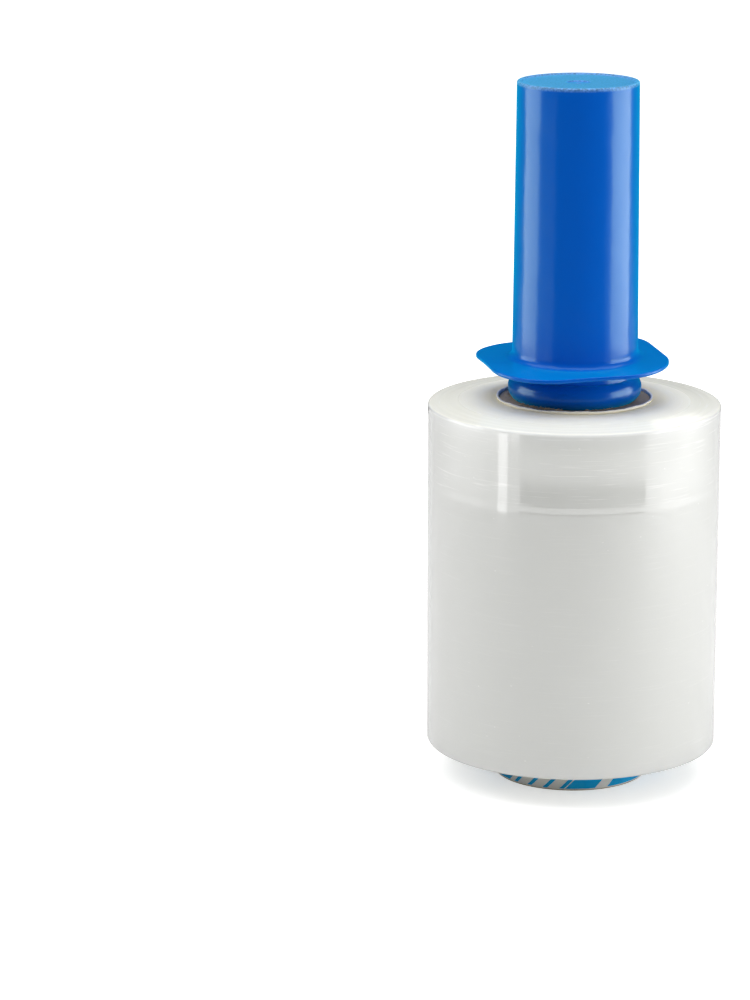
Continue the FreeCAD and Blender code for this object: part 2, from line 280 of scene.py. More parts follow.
def printed_paper_material(colours):
    """Coated white paper, printed in blue with slanted bare bars. Its cut edge is bare
    white, and the print has a dull sheen."""
    material, tree, shader, place = new_material("coated_paper_printed")
    run = add_node(tree, "ShaderNodeTexCoord").outputs["UV"]
    spread = add_node(tree, "ShaderNodeSeparateXYZ", {0: run})
    # Bare bars lean over by 45 degrees, one 5 mm and one 24 mm wide on each half of the core.
    slant = calc(tree, "MULTIPLY_ADD", spread.outputs["Y"], -1.0, spread.outputs["X"])

    def bars(run, pitch, start, width):
        turn = calc(tree, "ADD", run, -start * MM)
        part = calc(tree, "FLOORED_MODULO", turn, pitch * MM)
        return calc(tree, "LESS_THAN", part, width * MM)

    # Blue bars stand in the wide bare ones.
    thin = bars(slant, LABEL_PITCH, 53.4, 5.0)
    wide = bars(slant, LABEL_PITCH, 18.2, 24.0)
    field = calc(tree, "MULTIPLY", wide, bars(slant, 6.4, 2.0, 4.6))
    marks = calc(tree, "MAXIMUM", thin, field)
    fibres = add_node(
        tree, "ShaderNodeTexNoise", {"Vector": place, "Scale": 1 / (0.5 * MM), "Detail": 3.0}
    )
    ink = blend(tree, marks, colours.print_blue[:], colours.print_grey[:])
    height = add_node(tree, "ShaderNodeSeparateXYZ", {0: place})
    # The ply is bare for its last 1.2 mm at the top and 0.35 mm at the foot.
    top = calc(tree, "GREATER_THAN", height.outputs["Z"], PLY_HIGH.z - 1.2 * MM)
    foot = calc(tree, "LESS_THAN", height.outputs["Z"], PLY_LOW.z + 0.35 * MM)
    bare = calc(tree, "MAXIMUM", top, foot)
    tone = blend(tree, bare, ink, colours.paper[:])
    relief = add_node(
        tree, "ShaderNodeBump", {"Height": fibres.outputs["Fac"], "Strength": 0.3, "Distance": 0.03 * MM}
    )
    tree.links.new(tone, shader.inputs["Base Color"])
    tree.links.new(relief.outputs[0], shader.inputs["Normal"])
    shader.inputs["Roughness"].default_value = 0.5
    shader.inputs["Specular IOR Level"].default_value = 0.25
    return material


def torn_kraft_material(colours):
    """Torn kraft paper: soft brown fibres with no gloss, paler in places."""
    material, tree, shader, place = new_material("kraft_paper_torn")
    clumps = add_node(
        tree, "ShaderNodeTexNoise", {"Vector": place, "Scale": 1 / (1.2 * MM), "Detail": 2.0}
    )
    tone = blend(tree, clumps.outputs["Fac"], colours.kraft[:], linear("#D8C3A4"))
    tree.links.new(tone, shader.inputs["Base Color"])
    shader.inputs["Roughness"].default_value = 0.95
    shader.inputs["Sheen Weight"].default_value = 0.3
    return material


def moulded_polypropylene_material(colours):
    """Coloured polypropylene, injection moulded in a satin mould. It has soft gloss, walls
    that sank a little unevenly as they cooled, and a coarser stipple where the crown has
    no polish. The crown's paler blue is a painted sheen that stands in for the gloss of
    its stipple."""
    material, tree, shader, place = new_material("polypropylene_injection_moulded")
    height = add_node(tree, "ShaderNodeSeparateXYZ", {0: place})
    crown = ramp(tree, height.outputs["Z"], GRIP_HIGH.z - 1.6 * MM, GRIP_HIGH.z - 0.3 * MM)
    # The sinks are 14 mm across, and the crown's stipple has grains of 0.8 mm.
    sinks = add_node(tree, "ShaderNodeTexNoise", {"Vector": place, "Scale": 1 / (14 * MM), "Detail": 1.0})
    stipple = add_node(
        tree, "ShaderNodeTexNoise",
        {"Vector": place, "Scale": 1 / (0.8 * MM), "Detail": 3.0, "Roughness": 0.6}
    )
    low = add_node(
        tree, "ShaderNodeBump", {"Height": sinks.outputs["Fac"], "Strength": 1.0, "Distance": 0.3 * MM}
    )
    rough = calc(tree, "MULTIPLY", stipple.outputs["Fac"], crown)
    relief = add_node(
        tree, "ShaderNodeBump",
        {"Height": rough, "Strength": 0.8, "Distance": 0.12 * MM, "Normal": low.outputs[0]},
    )
    gloss = ramp(tree, crown, 0.0, 1.0, 0.19, 0.42)
    tree.links.new(gloss, shader.inputs["Roughness"])
    tree.links.new(relief.outputs[0], shader.inputs["Normal"])
    # The crown is painted a paler blue, mottled along its stipple: a painted sheen for its gloss.
    grain = ramp(tree, stipple.outputs["Fac"], 0.4, 0.6, 0.62, 1.36)
    pale = add_node(
        tree, "ShaderNodeVectorMath", {0: colours.crown_painted_sheen[:3], "Scale": grain}, operation="SCALE"
    )
    tone = blend(tree, crown, colours.grip[:], pale.outputs[0])
    tree.links.new(tone, shader.inputs["Base Color"])
    shader.inputs["Specular Tint"].default_value = colours.grip_gloss[:]
    shader.inputs["Specular IOR Level"].default_value = 0.3
    shader.inputs["IOR"].default_value = 1.49
    shader.inputs["Sheen Weight"].default_value = 1.0
    shader.inputs["Sheen Roughness"].default_value = 0.5
    shader.inputs["Sheen Tint"].default_value = colours.grip_bloom[:]
    return material


def rays_that_see(tree):
    """1 for the rays that show the white background, and 1 for gloss, as two sockets."""
    path = add_node(tree, "ShaderNodeLightPath")
    straight_on = calc(
        tree, "MAXIMUM", path.outputs["Is Camera Ray"], path.outputs["Is Transmission Ray"]
    )
    return straight_on, path.outputs["Is Glossy Ray"]


def studio_floor_material(colours):
    """A matt white sweep. Seen straight on it is the white background, and it keeps the
    shadow of what stands on it, with a painted shadow added round the core's foot. In a
    gloss only its far part is bright."""
    material, tree, shader, place = new_material("studio_sweep_matt")
    away = add_node(tree, "ShaderNodeVectorMath", {0: place}, operation="LENGTH")
    white = ramp(tree, away.outputs["Value"], 0.15, 0.9, 0.62, 0.97)
    # Right round the core's foot the lift is less: a painted shadow, darkest there.
    painted_foot_shadow = ramp(tree, away.outputs["Value"], 0.026, 0.048, 0.14, 0.0)
    white = calc(tree, "SUBTRACT", white, painted_foot_shadow)
    straight_on, gloss = rays_that_see(tree)
    far = ramp(tree, away.outputs["Value"], ARC_REACH - 5 * MM, ARC_REACH, 0.0, 0.5)
    # Behind the roll the far part is dark in a gloss too, which keeps the film's edges soft.
    spread = add_node(tree, "ShaderNodeSeparateXYZ", {0: place})
    before = ramp(tree, spread.outputs["Y"], 0.1, 0.35, 1.0, 0.0)
    far = calc(tree, "MULTIPLY", far, before)
    seen = calc(tree, "MULTIPLY", straight_on, white)
    lift = calc(tree, "MULTIPLY_ADD", gloss, far, seen)
    fleck = add_node(tree, "ShaderNodeTexNoise", {"Vector": place, "Scale": 1 / (40 * MM), "Detail": 2.0})
    tone = blend(tree, fleck.outputs["Fac"], colours.floor[:], linear("#DCDCDC"))
    tree.links.new(tone, shader.inputs["Base Color"])
    shader.inputs["Roughness"].default_value = 0.9
    shader.inputs["Specular IOR Level"].default_value = 0.1
    shader.inputs["Emission Color"].default_value = (1, 1, 1, 1)
    tree.links.new(lift, shader.inputs["Emission Strength"])
    return material


def flag_material():
    """Black velvet, as hung on a studio flag: it gives back next to no light."""
    material, tree, shader, place = new_material("black_velvet")
    nap = add_node(tree, "ShaderNodeTexNoise", {"Vector": place, "Scale": 1 / (3 * MM)})
    tone = blend(tree, nap.outputs["Fac"], linear("#0A0A0B"), linear("#121213"))
    tree.links.new(tone, shader.inputs["Base Color"])
    shader.inputs["Roughness"].default_value = 1.0
    shader.inputs["Specular IOR Level"].default_value = 0.0
    return material


def new_piece(name, mesh):
    """A mesh as an object at the origin."""
    piece = bpy.data.objects.new(name, mesh)
    bpy.context.scene.collection.objects.link(piece)
    return piece


def finish_piece(piece, body, material, node=None):
    """Gives a piece its material and says what it rides on and stands for."""
    piece.data.materials.clear()
    piece.data.materials.append(material)
    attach(piece, body)
    if node:
        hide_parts(node)


def rings_from(section, columns):
    """Rings of points from a section. Each entry is a function of the angles that gives
    reach and height, or a plain pair of them. A function may give x, y and z instead."""
    angles = np.arange(columns) * TAU / columns
    rings = []
    for entry in section:
        parts = entry(angles) if callable(entry) else entry
        if len(parts) == 2:
            parts = (parts[0] * np.cos(angles), parts[0] * np.sin(angles), parts[1])
        rings.append(np.stack([np.broadcast_to(part, angles.shape) for part in parts], axis=1))
    return rings


def loft(name, section, columns, closed, sharp=35.0):
    """A smooth mesh through the rings of a section. A closed section joins its last ring
    to its first, and an open one ends in a point on the axis at either end. Its UV map
    runs in metres: round the piece at its largest reach, and up it."""
    rings = rings_from(section, columns)
    shell = bmesh.new()
    rows = []
    for number, ring in enumerate(rings):
        if not closed and number in (0, len(rings) - 1):
            rows.append([shell.verts.new((0, 0, float(ring[0][2])))])
            continue
        rows.append([shell.verts.new(point) for point in ring.tolist()])
    uv = shell.loops.layers.uv.new("UVMap")
    largest = max(float(np.hypot(ring[:, 0], ring[:, 1]).max()) for ring in rings)
    pitch = TAU * largest / columns
    pairs = list(zip(rows, rows[1:]))
    if closed:
        pairs.append((rows[-1], rows[0]))
    for below, above in pairs:
        for column in range(columns):
            after = (column + 1) % columns
            corners = [(below, column, 0), (below, after, 1), (above, after, 1), (above, column, 0)]
            picked = [(row[place % len(row)], (column + step) * pitch) for row, place, step in corners]
            if len(below) == 1:
                picked.pop(0)
            elif len(above) == 1:
                picked.pop()
            face = shell.faces.new([vertex for vertex, across in picked])
            face.smooth = True
            for loop, (vertex, across) in zip(face.loops, picked):
                loop[uv].uv = (across, vertex.co.z)
    bmesh.ops.recalc_face_normals(shell, faces=shell.faces)
    mesh = bpy.data.meshes.new(name)
    shell.to_mesh(mesh)
    shell.free()
    mesh.set_sharp_from_angle(angle=math.radians(sharp))
    return mesh


def straight(start, end, steps):
    """Points from start up to, and without, the end."""
    return [tuple(np.add(start, np.subtract(end, start) * n / steps)) for n in range(steps)]


def bend(centre, radius, first, last, steps):
    """Points of an arc, both ends counted. The angles are in degrees."""
    turns = np.radians(np.linspace(first, last, steps + 1))
    return [(centre[0] + radius * math.cos(t), centre[1] + radius * math.sin(t)) for t in turns]


def waves(angles, parts):
    """A sum of waves round the axis, each (count, size, phase)."""
    return sum(size * np.sin(count * angles + phase) for count, size, phase in parts)


# The wound film.

# Lie of the film's side: heights in shares of its width, and how far each lies inside the
# largest reach, in mm. The outer turns step in at a ledge.
SIDE_LIE = (
    (0.0, 0.12), (0.05, 0.05), (0.2, 0.02), (0.45, 0.0), (0.7, 0.0), (0.778, 0.01), (0.790, 0.07),
    (0.86, 0.07), (0.94, 0.08), (1.0, 0.09),
)
# Dips of the ends, where groups of turns lie low: middle in shares from the core to the
# edge, half width in the same shares, and depth in mm.
DIPS = ((0.30, 0.06, 0.02), (0.52, 0.07, 0.03), (0.66, 0.05, 0.03), (0.79, 0.05, 0.04), (0.90, 0.04, 0.05))


def dip(share):
    """How deep an end lies under its smooth dish, in mm, at a share of its width."""
    return sum(depth * math.exp(-((share - middle) / half) ** 2) for middle, half, depth in DIPS)


def side_lie(width):
    """How far the side lies inside its largest reach, in mm, at a share of the width."""
    heights, insets = zip(*SIDE_LIE)
    spread = np.linspace(-0.006, 0.006, 7)
    return float(np.interp(np.clip(width + spread, 0, 1), heights, insets).mean())


def slackness(width):
    """How strongly the streaks show at a share of the film's width: in full above the ledge."""
    return 0.05 + 1.0 / (1 + math.exp(-(width - 0.785) / 0.008))


def film_section(sizes):
    """Section of the film as a closed run of (reach, height, slackness). Slackness says
    how strongly streaks show there."""
    inner = PLY_HIGH.x
    outer = FILM_HIGH.x
    low = FILM_LOW.z
    high = FILM_HIGH.z - sizes.film_dish
    edge = sizes.film_edge
    dish = sizes.film_dish - 0.3 * MM
    rim_low = outer - side_lie(0) * MM - edge
    rim_high = outer - side_lie(1) * MM - edge
    points = []
    end_rows = 64
    side_rows = 220
    for row in range(end_rows):
        share = row / end_rows
        rise = dish * (1 - share**1.4) + dip(share) * MM
        points.append((inner + (rim_low - inner) * share, low + rise, 0.5))
    for reach, height in bend((rim_low, low + edge), edge, -90, 0, 8):
        points.append((reach, height, 0.1))
    for row in range(1, side_rows):
        width = row / side_rows
        height = low + edge + (high - low - 2 * edge) * width
        points.append((outer - side_lie(width) * MM, height, slackness(width)))
    for reach, height in bend((rim_high, high - edge), edge, 0, 90, 8):
        points.append((reach, height, 0.6))
    for row in range(end_rows - 1, -1, -1):
        share = row / end_rows
        rise = dish * (1 - share**1.4) - dip(share) * MM
        points.append((inner + (rim_high - inner) * share, high + rise, 0.5))
    return points


def wound_film_tree():
    """Turns the section about the roll's axis, then lets each turn lie a little high or low."""
    tree = bpy.data.node_groups.new("wound_film", "GeometryNodeTree")
    face = tree.interface
    face.new_socket("Section", in_out="INPUT", socket_type="NodeSocketGeometry")
    face.new_socket("Columns", in_out="INPUT", socket_type="NodeSocketInt")
    face.new_socket("Streak Depth", in_out="INPUT", socket_type="NodeSocketFloat")
    face.new_socket("Tail Step", in_out="INPUT", socket_type="NodeSocketFloat")
    face.new_socket("Tail Angle", in_out="INPUT", socket_type="NodeSocketFloat")
    face.new_socket("Seed", in_out="INPUT", socket_type="NodeSocketFloat")
    face.new_socket("Material", in_out="INPUT", socket_type="NodeSocketMaterial")
    face.new_socket("Film", in_out="OUTPUT", socket_type="NodeSocketGeometry")
    given = add_node(tree, "NodeGroupInput").outputs
    count = add_node(tree, "GeometryNodeAttributeDomainSize", {0: given["Section"]}, component="MESH")
    columns = calc(tree, "ADD", given["Columns"], 1.0)
    grid = add_node(
        tree, "GeometryNodeMeshGrid",
        {"Size X": 1.0, "Size Y": 1.0, "Vertices X": columns, "Vertices Y": count.outputs[0]},
    )
    spot = add_node(tree, "GeometryNodeInputPosition").outputs[0]
    cell = add_node(tree, "ShaderNodeSeparateXYZ", {0: spot})
    angle = calc(tree, "MULTIPLY", cell.outputs["X"], TAU)
    last = calc(tree, "ADD", count.outputs[0], -1.0)
    lifted = calc(tree, "ADD", cell.outputs["Y"], 0.5)
    scaled = calc(tree, "MULTIPLY", lifted, last)
    row = calc(tree, "ROUND", scaled)
    place = add_node(tree, "GeometryNodeInputPosition").outputs[0]
    taken = add_node(
        tree, "GeometryNodeSampleIndex",
        {"Geometry": given["Section"], "Value": place, "Index": row}, data_type="FLOAT_VECTOR",
    )
    part = add_node(tree, "ShaderNodeSeparateXYZ", {0: taken.outputs[0]})
    slack_name = add_node(
        tree, "GeometryNodeInputNamedAttribute", {"Name": "slackness"}, data_type="FLOAT"
    )
    slack = add_node(
        tree, "GeometryNodeSampleIndex",
        {"Geometry": given["Section"], "Value": slack_name.outputs[0], "Index": row}, data_type="FLOAT",
    ).outputs[0]
    # The loose end of the film: reach falls by one step over a full turn and springs back.
    past = calc(tree, "SUBTRACT", angle, given["Tail Angle"])
    turn = calc(tree, "DIVIDE", past, TAU)
    fraction = calc(tree, "FRACT", turn)
    steep = calc(tree, "POWER", fraction, 0.15)
    step = calc(tree, "MULTIPLY", steep, given["Tail Step"])
    outside = calc(tree, "GREATER_THAN", part.outputs["X"], FILM_HIGH.x - 1.0 * MM)
    drop = calc(tree, "MULTIPLY", step, outside)
    reach = calc(tree, "SUBTRACT", part.outputs["X"], drop)
    cosine = calc(tree, "COSINE", angle)
    sine = calc(tree, "SINE", angle)
    across = calc(tree, "MULTIPLY", reach, cosine)
    along = calc(tree, "MULTIPLY", reach, sine)
    turned = add_node(tree, "ShaderNodeCombineXYZ", {"X": across, "Y": along, "Z": part.outputs["Z"]})
    # Streaks 1.6 mm wide and long round the roll, on reach plus height.
    run = calc(tree, "ADD", part.outputs["X"], part.outputs["Z"])
    fine = calc(tree, "MULTIPLY", run, 1 / (1.6 * MM))
    shifted = calc(tree, "ADD", fine, given["Seed"])
    stretch = add_node(tree, "ShaderNodeCombineXYZ", {"X": cosine, "Y": sine, "Z": shifted})
    streaks = add_node(
        tree, "ShaderNodeTexNoise",
        {"Vector": stretch.outputs[0], "Scale": 1.0, "Detail": 2.0, "Roughness": 0.6}
    )
    centred = calc(tree, "ADD", streaks.outputs[0], -0.62)
    deep = calc(tree, "MULTIPLY", centred, given["Streak Depth"])
    amount = calc(tree, "MULTIPLY", deep, slack)
    wound = add_node(
        tree, "GeometryNodeSetPosition", {"Geometry": grid.outputs["Mesh"], "Position": turned.outputs[0]}
    )
    kept = add_node(tree, "GeometryNodeCaptureAttribute", {"Geometry": wound.outputs[0]}, domain="POINT")
    kept.capture_items.new("FLOAT", "Amount")
    tree.links.new(amount, kept.inputs["Amount"])
    welded = add_node(
        tree, "GeometryNodeMergeByDistance", {"Geometry": kept.outputs["Geometry"], "Distance": 0.002 * MM}
    )
    normal = add_node(tree, "GeometryNodeInputNormal").outputs["Normal"]
    offset = add_node(
        tree, "ShaderNodeVectorMath", {0: normal, "Scale": kept.outputs["Amount"]}, operation="SCALE"
    )
    settled = add_node(
        tree, "GeometryNodeSetPosition", {"Geometry": welded.outputs[0], "Offset": offset.outputs[0]}
    )
    smooth = add_node(tree, "GeometryNodeSetShadeSmooth", {"Geometry": settled.outputs[0]})
    real = add_node(tree, "GeometryNodeRealizeInstances", {"Geometry": smooth.outputs[0]})
    dressed = add_node(
        tree, "GeometryNodeSetMaterial", {"Geometry": real.outputs[0], "Material": given["Material"]}
    )
    add_node(tree, "NodeGroupOutput", {0: dressed.outputs[0]})
    return tree


def grow(name, mesh, tree, values):
    """Runs a geometry node tree on a mesh and gives back the result as a plain piece."""
    piece = new_piece(name, mesh)
    modifier = piece.modifiers.new(tree.name, "NODES")
    modifier.node_group = tree
    for item in tree.interface.items_tree:
        if item.in_out == "INPUT" and item.name in values:
            modifier[item.identifier] = values[item.name]
    graph = bpy.context.evaluated_depsgraph_get()
    graph.update()
    plain = bpy.data.meshes.new_from_object(piece.evaluated_get(graph))
    piece.modifiers.clear()
    piece.data = plain
    plain.name = name
    return piece


class WRAPROLL_OT_wind_film(bpy.types.Operator):
    """Winds the stretch film on the core"""

    bl_idname = "wrap_roll.wind_film"
    bl_label = "Wind Film"

    def execute(self, context):
        sizes = context.scene.wrap_roll_sizes
        points = film_section(sizes)
        points.append(points[0])
        mesh = bpy.data.meshes.new("film_section")
        edges = [(n, n + 1) for n in range(len(points) - 1)]
        mesh.from_pydata([(reach, 0, height) for reach, height, slack in points], edges, [])
        slack = mesh.attributes.new("slackness", "FLOAT", "POINT")
        slack.data.foreach_set("value", [point[2] for point in points])
        material = stretch_film_material(context.scene.wrap_roll_colours)
        piece = grow("wound_film", mesh, wound_film_tree(), {
            "Columns": sizes.columns,
            "Streak Depth": sizes.streak_depth,
            "Tail Step": sizes.tail_step,
            "Tail Angle": math.radians(128),
            "Seed": 7.3,
            "Material": material,
        })
        face_outwards(piece.data)
        finish_piece(piece, "roll", material, "film_roll")
        return {"FINISHED"}


def face_outwards(mesh):
    """Turns every face of a closed mesh outwards."""
    shell = bmesh.new()
    shell.from_mesh(mesh)
    bmesh.ops.recalc_face_normals(shell, faces=shell.faces)
    shell.to_mesh(mesh)
    shell.free()


# The core and its printed ply.

TEARS = ((11, 0.5, 0.4), (23, 0.34, 2.2), (41, 0.22, 1.1), (67, 0.14, 5.0), (97, 0.09, 0.2))


def torn(angles, size):
    """How far a torn edge stands back round the axis, from 0 to about the given size."""
    return size * np.clip(np.abs(waves(angles, TEARS)), 0, 1)


class WRAPROLL_OT_saw_core(bpy.types.Operator):
    """Makes the paperboard core with its sawn ends"""

    bl_idname = "wrap_roll.saw_core"
    bl_label = "Saw Core"

    def execute(self, context):
        sizes = context.scene.wrap_roll_sizes
        outer = CORE_HIGH.x
        top = CORE_HIGH.z
        bore = sizes.bore
        depth = sizes.tear_depth
        width = sizes.tear_width
        board = outer - bore
        fray = ((9, 0.03 * MM, 0.3), (31, 0.02 * MM, 1.9), (73, 0.015 * MM, 0.8))
        rough = 0.065 * MM
        section = [(outer, 0.0)]
        section += straight((outer, 0.0), (outer, top - 0.15 * MM), 12)[1:]
        section.append((outer, top - 0.15 * MM))
        section.append(lambda a: (outer - 0.12 * MM, top - rough + waves(a, fray)))
        for share in (0.2, 0.35, 0.5, 0.65, 0.8):
            phase = 20 * share
            section.append(lambda a, s=share, p=phase: (outer - board * s, top - rough + waves(a + p, fray)))
        section.append(lambda a: (bore + 0.1 * MM, top - rough + waves(a + 3.0, fray)))
        section.append((bore, top - 0.3 * MM))
        section += straight((bore, top - 0.3 * MM), (bore, depth), 10)[1:]
        section.append((bore, depth))
        section.append(lambda a: (bore + torn(a, 0.25 * width), 0.72 * depth + torn(a + 1.0, 0.3 * MM)))
        section.append(lambda a: (bore + torn(a, 0.6 * width), 0.45 * depth - torn(a + 0.5, 0.3 * MM)))
        section.append(lambda a: (bore + torn(a, 0.85 * width), 0.2 * depth))
        section.append(lambda a: (bore + 0.15 * MM + torn(a, width), 0.0))
        section.append((bore + 2.2 * MM, 0.0))
        mesh = loft("core_board", section, sizes.columns + 104, closed=True)
        piece = new_piece("core_board", mesh)
        material = paperboard_material(context.scene.wrap_roll_colours, bore)
        finish_piece(piece, "roll", material, "core_tube")
        return {"FINISHED"}


class WRAPROLL_OT_print_ply(bpy.types.Operator):
    """Makes the printed paper ply round the core"""

    bl_idname = "wrap_roll.print_ply"
    bl_label = "Print Ply"

    def execute(self, context):
        sizes = context.scene.wrap_roll_sizes
        outer = PLY_HIGH.x
        inner = CORE_HIGH.x
        top = PLY_HIGH.z
        foot = PLY_LOW.z
        frill = ((7, 0.10 * MM, 0.4), (17, 0.07 * MM, 2.0), (43, 0.04 * MM, 1.0), (90, 0.02 * MM, 0.0))
        stand = 0.75 * MM
        flare = 0.4 * MM
        section = [(outer, foot + 0.1 * MM)]
        section += straight((outer, foot + 0.1 * MM), (outer, top - 1.0 * MM), 16)[1:]
        section.append((outer, top - 0.2 * MM))
        section.append(lambda a: (outer + flare, top + stand + waves(a, frill)))
        section.append(lambda a: (outer + flare - 0.08 * MM, top + stand + 0.08 * MM + waves(a, frill)))
        section.append(lambda a: (inner + 0.08 * MM, top + stand + 0.05 * MM + waves(a, frill)))
        section.append(lambda a: (inner, top + stand - 0.05 * MM + waves(a, frill)))
        section.append((inner, top - 0.5 * MM))
        section += straight((inner, top - 1.0 * MM), (inner, foot + 0.1 * MM), 4)
        section.append((inner, foot + 0.1 * MM))
        section.append(lambda a: (inner + 0.05 * MM, foot + waves(a, frill) * 0.4))
        section.append(lambda a: (outer - 0.05 * MM, foot + waves(a, frill) * 0.4))
        mesh = loft("paper_ply", section, sizes.columns + 104, closed=True)
        piece = new_piece("paper_ply", mesh)
        material = printed_paper_material(context.scene.wrap_roll_colours)
        finish_piece(piece, "roll", material, "printed_ply")
        return {"FINISHED"}


def torn_fibres_tree():
    """Scatters bent fibres along an arc of a circle, each turned and sized at random."""
    tree = bpy.data.node_groups.new("torn_fibres", "GeometryNodeTree")
    face = tree.interface
    face.new_socket("Base", in_out="INPUT", socket_type="NodeSocketGeometry")
    face.new_socket("Count", in_out="INPUT", socket_type="NodeSocketInt")
    for name in ("First Angle", "Last Angle", "Reach", "Depth", "Height", "Rise", "Length", "Radius"):
        face.new_socket(name, in_out="INPUT", socket_type="NodeSocketFloat")
    face.new_socket("Seed", in_out="INPUT", socket_type="NodeSocketInt")
    face.new_socket("Material", in_out="INPUT", socket_type="NodeSocketMaterial")
    face.new_socket("Fibres", in_out="OUTPUT", socket_type="NodeSocketGeometry")
    given = add_node(tree, "NodeGroupInput").outputs
    seeds = [calc(tree, "ADD", given["Seed"], float(step)) for step in range(5)]
    angle = add_node(
        tree, "FunctionNodeRandomValue",
        {2: given["First Angle"], 3: given["Last Angle"], "Seed": seeds[0]}, data_type="FLOAT",
    ).outputs[1]
    inward = add_node(
        tree, "FunctionNodeRandomValue", {2: 0.0, 3: given["Depth"], "Seed": seeds[1]}, data_type="FLOAT"
    ).outputs[1]
    lift = add_node(
        tree, "FunctionNodeRandomValue", {2: 0.0, 3: given["Rise"], "Seed": seeds[2]}, data_type="FLOAT"
    ).outputs[1]
    reach = calc(tree, "ADD", given["Reach"], inward)
    cosine = calc(tree, "COSINE", angle)
    sine = calc(tree, "SINE", angle)
    across = calc(tree, "MULTIPLY", reach, cosine)
    along = calc(tree, "MULTIPLY", reach, sine)
    height = calc(tree, "ADD", given["Height"], lift)
    place = add_node(tree, "ShaderNodeCombineXYZ", {"X": across, "Y": along, "Z": height})
    points = add_node(tree, "GeometryNodePoints", {"Count": given["Count"], "Position": place.outputs[0]})
    # One fibre, of unit length, lies along X with a bend in it.
    hair = add_node(
        tree, "GeometryNodeCurveQuadraticBezier",
        {"Resolution": 6, "Start": (-0.5, 0, 0), "Middle": (0.05, 0.35, 0.25), "End": (0.5, -0.1, 0.05)},
    )
    thin = calc(tree, "DIVIDE", given["Radius"], given["Length"])
    strand = add_node(tree, "GeometryNodeCurvePrimitiveCircle", {"Resolution": 5, "Radius": thin})
    fibre = add_node(
        tree, "GeometryNodeCurveToMesh",
        {"Curve": hair.outputs[0], "Profile Curve": strand.outputs[0], "Fill Caps": True},
    )
    turn = add_node(
        tree, "FunctionNodeRandomValue",
        {0: (-0.5, -0.6, 0.0), 1: (0.5, 0.6, TAU), "Seed": seeds[3]}, data_type="FLOAT_VECTOR",
    ).outputs[0]
    size = add_node(
        tree, "FunctionNodeRandomValue", {2: 0.3, 3: 1.0, "Seed": seeds[4]}, data_type="FLOAT"
    ).outputs[1]
    scale = calc(tree, "MULTIPLY", size, given["Length"])
    rotation = add_node(tree, "FunctionNodeEulerToRotation", {0: turn})
    sown = add_node(
        tree, "GeometryNodeInstanceOnPoints",
        {
            "Points": points.outputs[0],
            "Instance": fibre.outputs[0],
            "Rotation": rotation.outputs[0],
            "Scale": scale,
        },
    )
    real = add_node(tree, "GeometryNodeRealizeInstances", {"Geometry": sown.outputs[0]})
    dressed = add_node(
        tree, "GeometryNodeSetMaterial", {"Geometry": real.outputs[0], "Material": given["Material"]}
    )
    add_node(tree, "NodeGroupOutput", {0: dressed.outputs[0]})
    return tree


class WRAPROLL_OT_tear_fibres(bpy.types.Operator):
    """Adds the torn paper fibres at both ends of the core"""

    bl_idname = "wrap_roll.tear_fibres"
    bl_label = "Tear Fibres"

    def execute(self, context):
        sizes = context.scene.wrap_roll_sizes
        material = torn_kraft_material(context.scene.wrap_roll_colours)
        tree = torn_fibres_tree()
        shared = {"Length": sizes.fibre_length, "Radius": sizes.fibre_radius, "Material": material}
        top = CORE_HIGH.z
        # Torn plies show from under the bead and at the foot of the bore: angles from +X.
        patches = (
            ("fibres_left", (214, 256), 0.75, sizes.bead_seat + 1.0 * MM, 1.6 * MM, top + 0.1 * MM, 0.5 * MM),
            ("fibres_right", (276, 304), 0.2, sizes.bead_seat + 0.9 * MM, MM, top + 0.05 * MM, 0.25 * MM),
            ("fibres_back", (20, 175), 0.3, sizes.bead_seat + 0.7 * MM, 1.2 * MM, top + 0.05 * MM, 0.3 * MM),
            ("fibres_foot", (0, 360), 1.1, sizes.bore - 0.2 * MM, 0.9 * MM, 0.5 * MM, 1.1 * MM),
        )
        for seed, (name, span, share, reach, depth, height, rise) in enumerate(patches):
            values = dict(shared)
            values["Count"] = int(sizes.fibres * share)
            values["First Angle"] = math.radians(span[0])
            values["Last Angle"] = math.radians(span[1])
            values["Reach"] = reach
            values["Depth"] = depth
            values["Height"] = height
            values["Rise"] = rise
            values["Seed"] = 40 + 10 * seed
            piece = grow(name, bpy.data.meshes.new(name), tree, values)
            finish_piece(piece, "roll", material)
        return {"FINISHED"}


# The grip.

BRIM_TURN = math.radians(12.4)
BRIM_SHIFT = (-1.1 * MM, 0.3 * MM)
BRIM_REACH = 34.0 * MM
BRIM_DROOP = 0.3 * MM
BRIM_LEAN = 1.15 * MM
BRIM_LEAN_HEADING = math.radians(48)
BRIM_SADDLE = 0.6 * MM
BRIM_SADDLE_HEADING = math.radians(19.5)


def brim_rise(reach, angles, root):
    """How far the warped brim stands above its level at the grip."""
    share = reach / BRIM_REACH
    inner = root / BRIM_REACH
    lean = BRIM_LEAN * np.cos(angles - BRIM_LEAN_HEADING) * share**3
    saddle = BRIM_SADDLE * np.cos(2 * (angles - BRIM_SADDLE_HEADING)) * share**2
    return lean + saddle - BRIM_DROOP * (share**2 - inner**2) / (1 - inner**2)


def brim_outline(angles, sizes):
    """Reach of the rounded square brim from its own centre at each angle."""
    flat = sizes.brim_half - sizes.brim_corner
    near = np.abs(np.cos(angles - BRIM_TURN))
    far = np.abs(np.sin(angles - BRIM_TURN))
    large = np.maximum(near, far)
    small = np.minimum(near, far)
    on_side = sizes.brim_half / large
    inside = np.clip(sizes.brim_corner**2 - flat**2 * (large - small) ** 2, 0, None)
    on_corner = flat * (large + small) + np.sqrt(inside)
    return np.where(on_side * small <= flat, on_side, on_corner)


